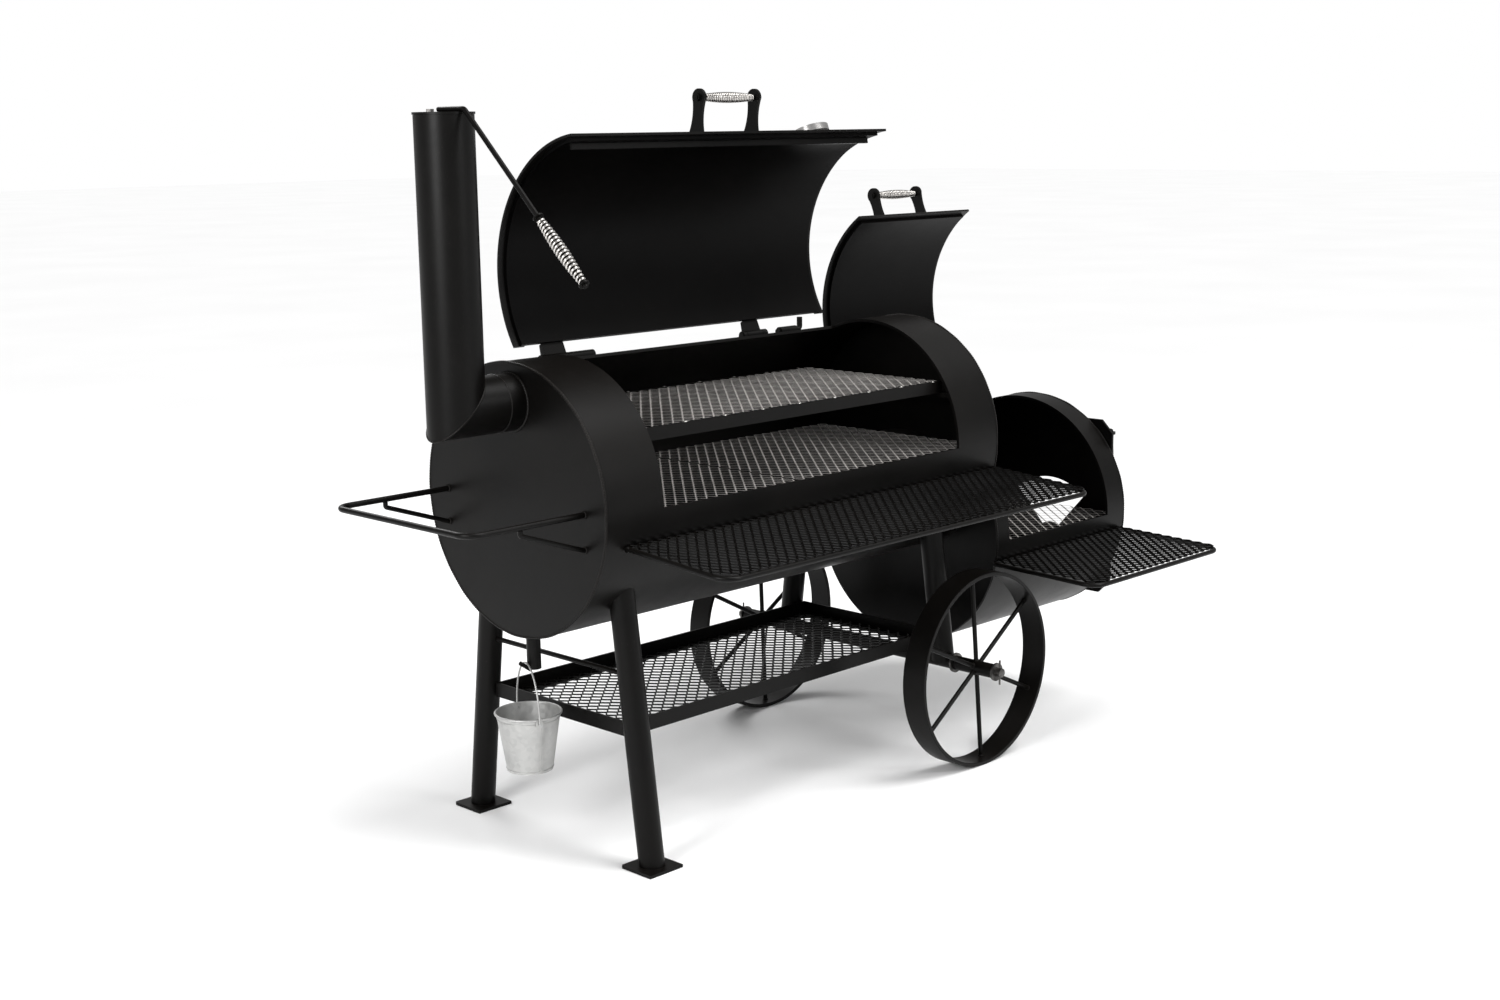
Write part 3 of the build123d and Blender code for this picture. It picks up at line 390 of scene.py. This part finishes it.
class Finishes:
    """The materials, each made once and shared."""

    def __init__(self) -> None:
        """Make every finish."""
        self.paint = StovePaint().make()
        # Darker, less reflective copy of the stove paint: painted shade for the inside of the open lids.
        self.shaded_lid_paint = StovePaint(
            "lid_painted_shade",
            dark=(0.0011, 0.0010, 0.0010),
            dust_and_sheen_tint=(0.0032, 0.0028, 0.0025),
            low_gloss=0.44,
            reflect=0.05,
        ).make()
        self.spring = BareSteel(
            "spring_wire",
            bright=(0.66, 0.64, 0.61),
            dull=(0.40, 0.385, 0.37),
            shine=0.20,
            rust=0.0,
            grain=90.0,
        ).make()
        self.grate = BareSteel(
            "grate_steel",
            bright=(0.72, 0.69, 0.66),
            dull=(0.44, 0.42, 0.40),
            shine=0.36,
            rust=0.12,
            metal=0.4,
        ).make()
        self.axle = BareSteel(
            "turned_steel",
            bright=(0.14, 0.135, 0.13),
            dull=(0.05, 0.048, 0.046),
            shine=0.32,
            rust=0.15,
        ).make()
        self.case = BareSteel(
            "gauge_steel",
            bright=(0.62, 0.61, 0.60),
            dull=(0.42, 0.41, 0.40),
            shine=0.22,
            rust=0.0,
        ).make()
        self.weld = StovePaint(
            "weld_bead",
            dark=(0.0035, 0.0032, 0.0030),
            dust_and_sheen_tint=(0.016, 0.014, 0.012),
            high_gloss=0.32,
        ).make()
        self.zinc = Galvanised().make()
        self.dial = Enamel("dial_white", (0.82, 0.82, 0.79)).make()
        self.ink = Enamel("dial_black", (0.02, 0.02, 0.02)).make()
        self.glass = ClearGlass().make()
        self.ground = PaleGround().make()


# ---------------------------------------------------------------- mesh work
class Maker:
    """Collects vertices and faces of one piece and turns them into an object."""

    def __init__(self) -> None:
        """Start an empty mesh."""
        self.points: list[tuple[float, float, float]] = []
        self.faces: list[tuple[int, ...]] = []

    def loft(self, rings: Sequence[Sequence[Vector]], closed: bool = False) -> None:
        """Join equal rings of points into a skin.

        Args:
            rings: rings of points, in order.
            closed: whether the last ring joins the first; otherwise the ends are capped.
        """
        start, count = len(self.points), len(rings[0])
        for ring in rings:
            self.points.extend(tuple(p) for p in ring)
        last = len(rings) if closed else len(rings) - 1
        for i in range(last):
            a, b = start + i * count, start + ((i + 1) % len(rings)) * count
            for k in range(count):
                n = (k + 1) % count
                self.faces.append((a + k, a + n, b + n, b + k))
        if not closed:
            end = start + (len(rings) - 1) * count
            self.faces.append(tuple(range(start + count - 1, start - 1, -1)))
            self.faces.append(tuple(range(end, end + count)))

    def tube(
        self,
        path: Sequence[Vector],
        radius: Callable[[int], float],
        sides: int = 8,
        closed: bool = False,
    ) -> None:
        """Round tube along a path.

        Args:
            path: centre points.
            radius: radius at each point's index.
            sides: sides of the section.
            closed: whether the path is a loop.
        """
        rings = []
        side = None
        for i, point in enumerate(path):
            after = path[(i + 1) % len(path)] if closed or i + 1 < len(path) else point
            before = path[i - 1] if closed or i > 0 else point
            ahead = (after - before).normalized()
            if side is None:
                side = ahead.orthogonal().normalized()
            side = (side - ahead * side.dot(ahead)).normalized()
            other = ahead.cross(side)
            r = radius(i)
            turns = [TAU * k / sides for k in range(sides)]
            rings.append([point + (side * math.cos(a) + other * math.sin(a)) * r for a in turns])
        self.loft(rings, closed)

    def build(
        self,
        name: str,
        material: bpy.types.Material,
        part: Part,
        smooth: bool = True,
    ) -> bpy.types.Object:
        """Make the object and let it ride.

        Args:
            name: the piece's name.
            material: its finish.
            part: the body it rides on.
            smooth: whether it is shaded smooth.

        Returns:
            The new object.
        """
        mesh = bpy.data.meshes.new(name)
        mesh.from_pydata(self.points, [], self.faces)
        mesh.materials.append(material)
        mesh.polygons.foreach_set("use_smooth", [smooth] * len(mesh.polygons))
        mesh.validate()
        piece = bpy.data.objects.new(name, mesh)
        bpy.context.scene.collection.objects.link(piece)
        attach(piece, part.value)
        LOG.info("%s: %d faces on %s", name, len(self.faces), part.value)
        return piece


@dataclass
class ExpandedSheet:
    """Expanded metal that fills the place of one plain sheet."""

    node: str
    slot: str
    corner: float = 0.0
    diamond_long: float = 0.0300
    diamond_short: float = 0.0140
    strand: float = 0.0050
    thick: float = 0.0020
    lean: float = 0.0011
    knuckle: float = 0.16

    def inside(self, u: float, v: float, width: float, depth: float) -> bool:
        """Whether a point of the sheet lies in its outline.

        Args:
            u: distance from the left edge.
            v: distance from the back edge.
            width: sheet's width.
            depth: sheet's depth.

        Returns:
            True inside the outline.
        """
        if not (0 <= u <= width and 0 <= v <= depth):
            return False
        across = max(self.corner - u, u - (width - self.corner), 0.0)
        along = max(v - (depth - self.corner), 0.0)
        return math.hypot(across, along) <= self.corner or across == 0.0 or along == 0.0

    def make(self, material: bpy.types.Material) -> bpy.types.Object:
        """Weave the sheet.

        Args:
            material: its finish.

        Returns:
            The piece.
        """
        low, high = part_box(self.node)
        sheet = 0.003
        back = Vector((low.x, high.y, high.z - sheet / 2))
        front = Vector((low.x, low.y, low.z + sheet / 2))
        width, depth = high.x - low.x, (front - back).length
        down = (front - back).normalized()
        rise = Vector((1, 0, 0)).cross(down) * -1
        columns = round(width / (self.diamond_long / 2))
        rows = round(depth / self.diamond_short)
        step, row = width / columns, depth / rows
        maker = Maker()
        for j in range(rows):
            run: list[list[Vector]] = []
            for i in range(columns + 1):
                peak = 1 if (i + j) % 2 else -1
                v = (j + 0.5 + 0.45 * peak) * row
                for shift in (-self.knuckle, self.knuckle):
                    u = (i + shift) * step
                    if self.inside(u, v, width, depth):
                        run.append(self.section(back, down, rise, u, v))
                    else:
                        if len(run) > 1:
                            maker.loft(run)
                        run = []
            if len(run) > 1:
                maker.loft(run)
        piece = maker.build(self.node + "_expanded", material, Part.STAND, smooth=False)
        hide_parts(self.node)
        return piece

    def section(self, back: Vector, down: Vector, rise: Vector, u: float, v: float) -> list[Vector]:
        """Leaning section of a strand.

        Args:
            back: the sheet's back left corner.
            down: direction away from the back edge.
            rise: the sheet's normal.
            u: distance along the sheet.
            v: distance from its back edge.

        Returns:
            Four corners.
        """
        centre = back + Vector((u, 0, 0)) + down * v
        half, t = self.strand / 2, self.thick / 2
        corners = (
            (-half, -self.lean - t),
            (half, self.lean - t),
            (half, self.lean + t),
            (-half, -self.lean + t),
        )
        return [centre + down * a + rise * b for a, b in corners]


@dataclass
class CoilGrip:
    """Barrel-shaped coil spring round a handle's bolt."""

    node: str
    part: Part
    run: Run
    length: float
    end_radius: float = 0.0066
    mid_radius: float = 0.0108
    wire: float = 0.0019
    pitch: float = 0.0048

    def make(self, material: bpy.types.Material) -> bpy.types.Object:
        """Wind the spring.

        Args:
            material: its finish.

        Returns:
            The piece.
        """
        low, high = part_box(self.node)
        middle = (low + high) / 2
        axis = Vector(self.run.value).normalized()
        side = axis.orthogonal().normalized()
        other = axis.cross(side)
        usable = self.length - 2.2 * self.wire
        turns = usable / self.pitch
        steps = int(turns * 18)
        path = []
        for i in range(steps + 1):
            t = i / steps
            bulge = math.sin(math.pi * t)
            r = self.end_radius + (self.mid_radius - self.end_radius) * bulge - self.wire
            a = TAU * turns * t
            along = axis * (usable * (t - 0.5))
            path.append(middle + along + (side * math.cos(a) + other * math.sin(a)) * r)
        maker = Maker()
        maker.tube(path, lambda _: self.wire, 8)
        piece = maker.build(self.node + "_coil", material, self.part)
        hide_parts(self.node)
        return piece


@dataclass
class WeldRing:
    """Rippled weld bead round a circle."""

    name: str
    centre: Vector
    first: Vector
    second: Vector
    radius: float
    bead: float = 0.0030
    part: Part = Part.STAND

    def make(self, material: bpy.types.Material) -> bpy.types.Object:
        """Lay the bead.

        Args:
            material: its finish.

        Returns:
            The piece.
        """
        ripples = max(24, int(TAU * self.radius / 0.0052))
        count = ripples * 3
        path = []
        for i in range(count):
            a = TAU * i / count
            wander = 1 + 0.0012 * math.sin(13.0 * a) + 0.0008 * math.sin(29.0 * a)
            ray = self.first * math.cos(a) + self.second * math.sin(a)
            path.append(self.centre + ray * self.radius * wander)
        maker = Maker()
        size = (1.0, 0.86, 0.72)
        maker.tube(path, lambda i: self.bead * size[i % 3], 7, closed=True)
        piece = maker.build(self.name, material, self.part)
        return piece


@dataclass
class Cooker:
    """Both pipes, their grates, lids and welds."""

    finishes: Finishes
    flue_rise: float = 0.182
    brace_drop: float = 0.063

    def welds(self) -> None:
        """Beads at the pipe ends, the flue stub and the push bar."""
        low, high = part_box("cooker_cap_left")
        axis_y, axis_z = (low.y + high.y) / 2, (low.z + high.z) / 2
        radius = (high.y - low.y) / 2
        up, across = Vector((0, 0, 1)), Vector((0, 1, 0))
        fire_low, fire_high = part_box("firebox_plate_right")
        fire_z = (fire_low.z + fire_high.z) / 2
        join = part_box("firebox_plate_left")[0].x
        rings = [
            ("weld_left_cap", (low.x + 0.0015, axis_y, axis_z), radius - 0.0012, 0.0032),
            ("weld_cooker_right", (join - 0.0005, axis_y, axis_z), radius - 0.0010, 0.0028),
            ("weld_firebox_left", (join + 0.0045, axis_y, fire_z), radius - 0.0010, 0.0028),
            ("weld_firebox_right", (fire_high.x - 0.0015, axis_y, fire_z), radius - 0.0012, 0.0030),
        ]
        flue_low, flue_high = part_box("chimney")
        stack = (flue_high.y - flue_low.y) / 2
        flue_z = axis_z + self.flue_rise
        rings.append(("weld_flue", (low.x - 0.001, axis_y, flue_z), stack + 0.0004, 0.0034))
        rings.append(("seam_flue", (low.x - 0.036, axis_y, flue_z), stack - 0.0006, 0.0020))
        for name, centre, r, bead in rings:
            WeldRing(name, Vector(centre), up, across, r, bead).make(self.finishes.weld)
        middle = Vector((flue_low.x + stack, axis_y, flue_z))
        mitre = Vector((1, 0, 1))
        WeldRing("weld_elbow", middle, mitre, across, stack - 0.0004, 0.0022).make(self.finishes.weld)
        bar_low, bar_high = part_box("push_handle")
        for name, y in (("front", bar_low.y + 0.0055), ("rear", bar_high.y - 0.0055)):
            joints = (("bar", axis_z, 0.0058), ("brace", axis_z - self.brace_drop, 0.0050))
            for kind, z, r in joints:
                centre = Vector((low.x - 0.0008, y, z))
                WeldRing(f"weld_{kind}_{name}", centre, up, across, r, 0.0020).make(self.finishes.weld)

    def grate_dots(self) -> None:
        """Plug welds that hold the upper grate to its two bars."""
        low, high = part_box("upper_grate_bars")
        maker = Maker()
        count = 9
        for i in range(count):
            x = low.x + 0.03 + (high.x - low.x - 0.06) * i / (count - 1)
            for y in (low.y + 0.0018, high.y - 0.0018):
                rings = []
                for k in range(4):
                    r = 0.0052 * math.cos(math.pi / 2 * k / 3.6)
                    z = high.z - 0.0002 + 0.0020 * k / 3
                    turns = [TAU * s / 10 for s in range(10)]
                    rings.append([Vector((x + r * math.cos(a), y + 0.75 * r * math.sin(a), z)) for a in turns])
                maker.loft(rings)
        piece = maker.build("upper_grate_welds", self.finishes.spring, Part.STAND)

    def sheets(self) -> None:
        """Grates and shelf meshes."""
        grates = ("cooking_grate_left", "cooking_grate_right", "upper_grate", "firebox_grate")
        for node in grates:
            ExpandedSheet(
                node,
                "grate_steel",
                diamond_long=0.0260,
                diamond_short=0.0145,
                strand=0.0028,
                thick=0.0007,
                lean=0.0002,
            ).make(self.finishes.grate)
        for node in ("front_shelf_mesh", "firebox_shelf_mesh"):
            ExpandedSheet(
                node,
                "black_paint",
                corner=0.033,
                diamond_long=0.0230,
                diamond_short=0.0128,
                strand=0.0043,
            ).make(self.finishes.paint)
        ExpandedSheet("lower_shelf_mesh", "black_paint").make(self.finishes.paint)

    def grips(self) -> None:
        """Coil springs on the handles."""
        for grip in (
            CoilGrip("main_handle_grip", Part.MAIN_LID, Run.ALONG, 0.143),
            CoilGrip("firebox_handle_grip", Part.FIREBOX_LID, Run.ALONG, 0.143),
            CoilGrip("door_handle_grip", Part.DOOR, Run.UP, 0.113),
            CoilGrip("damper_grip", Part.STACK_DAMPER, Run.SLOPE, 0.146, 0.0074, 0.0116, 0.0023, 0.0074),
        ):
            grip.make(self.finishes.spring)

    def make(self) -> None:
        """Build every piece of the pipes."""
        self.sheets()
        self.grips()
        self.welds()
        self.grate_dots()


@dataclass
class DialGauge:
    """Scale, needle and window of the lid's thermometer."""

    finishes: Finishes
    ticks: int = 25
    sweep: float = 270.0

    def face(self) -> tuple[Vector, Vector, Vector, Vector]:
        """Centre, two in-plane directions and outward normal of the dial."""
        node = frame["nodes"]["thermometer_dial"]
        mesh = node.data
        biggest = max(mesh.polygons, key=lambda p: p.area)
        normal = Vector(biggest.normal)
        low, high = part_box("thermometer_dial")
        centre = (low + high) / 2
        lid_low, lid_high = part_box("main_lid_shell")
        if normal.dot(centre - (lid_low + lid_high) / 2) < 0:
            normal = -normal
        across = Vector((1, 0, 0))
        return centre + normal * 0.0006, across, normal.cross(across), normal

    def make(self) -> None:
        """Build the scale, the needle and the window."""
        centre, across, up, out = self.face()
        scale = Maker()
        for i in range(self.ticks):
            a = math.radians(-90 - (360 - self.sweep) / 2 - self.sweep * i / (self.ticks - 1))
            ray = across * math.cos(a) + up * math.sin(a)
            side = out.cross(ray)
            start, half = (0.0225, 0.0007) if i % 4 == 0 else (0.0260, 0.0004)
            rings = []
            for r in (start, 0.0305):
                corners = ((-half, 0.0001), (half, 0.0001), (half, 0.0004), (-half, 0.0004))
                rings.append([centre + ray * r + side * s + out * h for s, h in corners])
            scale.loft(rings)
        scale.build("dial_scale", self.finishes.ink, Part.MAIN_LID, smooth=False)
        needle = Maker()
        a = math.radians(205)
        ray = across * math.cos(a) + up * math.sin(a)
        side = out.cross(ray)
        rings = []
        for r, half in ((-0.007, 0.0012), (0.0, 0.0026), (0.004, 0.0016), (0.026, 0.0004)):
            corners = ((-half, 0.0008), (half, 0.0008), (half, 0.0014), (-half, 0.0014))
            rings.append([centre + ray * r + side * s + out * h for s, h in corners])
        needle.loft(rings)
        needle.build("dial_needle", self.finishes.ink, Part.MAIN_LID, smooth=False)
        window = Maker()
        turns = [TAU * k / 48 for k in range(48)]
        rings = []
        for r, h in ((0.0336, 0.0012), (0.0336, 0.0016), (0.024, 0.0021), (0.010, 0.0024), (0.002, 0.0025)):
            rings.append([centre + (across * math.cos(t) + up * math.sin(t)) * r + out * h for t in turns])
        window.loft(rings)
        window.build("dial_window", self.finishes.glass, Part.MAIN_LID)


@dataclass
class PailSeam:
    """Folded side seam and swaged lines of the grease bucket."""

    finishes: Finishes
    turn: float = 20.7
    low_radius: float = 0.0430
    high_radius: float = 0.0600

    def make(self) -> None:
        """Build the seam and the lines."""
        low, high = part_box("bucket")
        axis = Vector(((low.x + high.x) / 2, (low.y + high.y) / 2, 0))
        angle = math.radians(-90 - self.turn + 9)
        out = Vector((math.cos(angle), math.sin(angle), 0))
        side = Vector((-out.y, out.x, 0))
        seam = Maker()
        rings = []
        for t in (0.03, 0.5, 0.93):
            z = low.z + (high.z - low.z) * t
            r = self.low_radius + (self.high_radius - self.low_radius) * t
            corners = ((-0.0032, -0.0004), (0.0032, -0.0004), (0.0026, 0.0009), (-0.0026, 0.0009))
            rings.append([axis + Vector((0, 0, z)) + out * (r + h) + side * s for s, h in corners])
        seam.loft(rings)
        seam.build("pail_seam", self.finishes.zinc, Part.PAIL, smooth=False)
        for index, t in enumerate((0.045, 0.90)):
            z = low.z + (high.z - low.z) * t
            r = self.low_radius + (self.high_radius - self.low_radius) * t
            turns = [TAU * k / 72 for k in range(72)]
            path = [axis + Vector((r * math.cos(a), r * math.sin(a), z)) for a in turns]
            line = Maker()
            line.tube(path, lambda _: 0.0011, 6, closed=True)
            line.build(f"pail_line_{index}", self.finishes.zinc, Part.PAIL)


@dataclass
class WheelWelds:
    """Small beads where the spokes meet the hub and the rim."""

    finishes: Finishes
    spokes: int = 6
    rim: float = 0.008
    bead_ring: float = 0.0051

    def make(self) -> None:
        """Build the beads of both wheels."""
        for name, part, turn in (("front", Part.FRONT_WHEEL, 35.0), ("rear", Part.REAR_WHEEL, 32.0)):
            low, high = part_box("wheel_rim_" + name)
            centre = (low + high) / 2
            inner = (high.z - low.z) / 2 - self.rim
            across = Vector((0, 1, 0))
            maker = Maker()
            for k in range(self.spokes):
                a = math.radians(turn + 360 / self.spokes * k)
                out = Vector((math.cos(a), 0, math.sin(a)))
                side = out.cross(across)
                for reach in (0.0158, inner - 0.0010):
                    turns = [TAU * s / 18 for s in range(18)]
                    root = centre + out * reach
                    path = [root + (side * math.cos(t) + across * math.sin(t)) * self.bead_ring for t in turns]
                    maker.tube(path, lambda i: 0.0017 if i % 2 else 0.0013, 6, closed=True)
            maker.build("wheel_welds_" + name, self.finishes.weld, part)


@dataclass
class Studio:
    """Floor, lights and camera."""

    finishes: Finishes
    azimuth: float = -45.31
    elevation: float = 10.94
    roll: float = -0.77
    place: tuple[float, float, float] = (-2.83745, -2.64878, 1.3231)
    lens: float = 46.23
    room: float = 0.42

    def axes(self) -> tuple[Vector, Vector, Vector]:
        """Right, up and backward directions of the camera."""
        a, e, r = (math.radians(v) for v in (self.azimuth, self.elevation, self.roll))
        back = Vector((math.sin(a) * math.cos(e), -math.cos(a) * math.cos(e), math.sin(e)))
        right = (-back).cross(Vector((0, 0, 1))).normalized()
        up = right.cross(-back)
        return right * math.cos(r) + up * math.sin(r), up * math.cos(r) - right * math.sin(r), back

    def camera(self) -> None:
        """Stand the camera at the viewing angle."""
        data = bpy.data.cameras.new("camera")
        data.sensor_width = 36.0
        data.lens = self.lens
        data.clip_end = 60.0
        eye = bpy.data.objects.new("camera", data)
        bpy.context.scene.collection.objects.link(eye)
        columns = self.axes()
        turn = Matrix([[c[i] for c in columns] for i in range(3)]).to_4x4()
        eye.matrix_world = Matrix.Translation(self.place) @ turn
        bpy.context.scene.camera = eye

    def lamp(self, name: str, spot: Sequence[float], aim: Sequence[float], size: float, power: float) -> None:
        """Add a soft lamp.

        Args:
            name: its name.
            spot: where it stands.
            aim: what it points at.
            size: its side in metres.
            power: its power in watts.
        """
        data = bpy.data.lights.new(name, "AREA")
        data.shape = "SQUARE"
        data.size = size
        data.energy = power
        lamp = bpy.data.objects.new(name, data)
        bpy.context.scene.collection.objects.link(lamp)
        lamp.location = spot
        lamp.rotation_mode = "QUATERNION"
        lamp.rotation_quaternion = (Vector(aim) - Vector(spot)).to_track_quat("-Z", "Y")

    def sun(self, name: str, way: Sequence[float], power: float, spread: float) -> None:
        """Add an even, very soft light from afar.

        Args:
            name: its name.
            way: direction that it shines in.
            power: its strength.
            spread: its apparent width in degrees.
        """
        data = bpy.data.lights.new(name, "SUN")
        data.energy = power
        data.angle = math.radians(spread)
        lamp = bpy.data.objects.new(name, data)
        bpy.context.scene.collection.objects.link(lamp)
        lamp.rotation_mode = "QUATERNION"
        lamp.rotation_quaternion = Vector(way).to_track_quat("-Z", "Y")

    def floor(self) -> None:
        """Lay a pale floor."""
        maker = Maker()
        half = 45.0
        section = ((-half, -0.02), (half, -0.02), (half, 0), (-half, 0))
        maker.loft([[Vector((x, y, z)) for y, z in section] for x in (-half, half)])
        mesh = bpy.data.meshes.new("floor")
        mesh.from_pydata(maker.points, [], maker.faces)
        mesh.materials.append(self.finishes.ground)
        ground = bpy.data.objects.new("floor", mesh)
        bpy.context.scene.collection.objects.link(ground)

    def make(self) -> None:
        """Set the stage."""
        self.floor()
        self.camera()
        self.sun("sun", (-0.35, 0.45, -1.0), 2.6, 35.0)
        self.lamp("left_panel", (-3.2, -0.6, 1.7), (-0.6, 0, 0.7), 1.0, 62.0)
        self.lamp("front_panel", (0.8, -3.8, 2.4), (0.1, 0, 0.7), 1.4, 62.0)
        self.lamp("back_panel", (0.2, 3.0, 2.8), (0.1, 0, 0.9), 1.6, 50.0)
        scene = bpy.context.scene
        world = bpy.data.worlds.new("sky")
        world.use_nodes = True
        tree = world.node_tree
        sky = tree.nodes["Background"]
        path = tree.nodes.new("ShaderNodeLightPath")
        level = tree.nodes.new("ShaderNodeMapRange")
        level.inputs[3].default_value = self.room
        level.inputs[4].default_value = 1.0
        tree.links.new(path.outputs["Is Camera Ray"], level.inputs[0])
        tree.links.new(level.outputs[0], sky.inputs[1])
        sky.inputs[0].default_value = (1.0, 1.0, 1.0, 1.0)
        scene.world = world
        scene.view_settings.view_transform = "Standard"


@dataclass
class Dresser:
    """Gives every CAD node its finish."""

    finishes: Finishes

    def choice(self, node: str) -> bpy.types.Material:
        """Finish of a node.

        Args:
            node: the node's name.

        Returns:
            The material.
        """
        slots = {s["node"]: s["material_slot"] for s in frame["record"]["subparts"]}
        table = {
            "black_paint": self.finishes.paint,
            "chrome_spring": self.finishes.spring,
            "grate_steel": self.finishes.grate,
            "axle_steel": self.finishes.axle,
            "gauge_case": self.finishes.case,
            "gauge_dial": self.finishes.dial,
            "galvanised": self.finishes.zinc,
        }
        # The lid shells get the darker paint copy, which is painted shade for the inside of the lids.
        if node in ("main_lid_shell", "firebox_lid_shell"):
            return self.finishes.shaded_lid_paint
        return table[slots[node]]

    def make(self) -> None:
        """Dress every node."""
        for name, node in frame["nodes"].items():
            node.data.materials.clear()
            node.data.materials.append(self.choice(name))
            LOG.info("%s dressed in %s", name, node.data.materials[0].name)


def main() -> None:
    """Build the scene's classes in order."""
    finishes = Finishes()
    for builder in (
        Dresser(finishes),
        Cooker(finishes),
        DialGauge(finishes),
        PailSeam(finishes),
        WheelWelds(finishes),
        Studio(finishes),
    ):
        builder.make()
        LOG.info("%s done", type(builder).__name__)


if __name__ == "__main__":
    logging.basicConfig(level=logging.INFO, format="%(name)s: %(message)s")
    main()
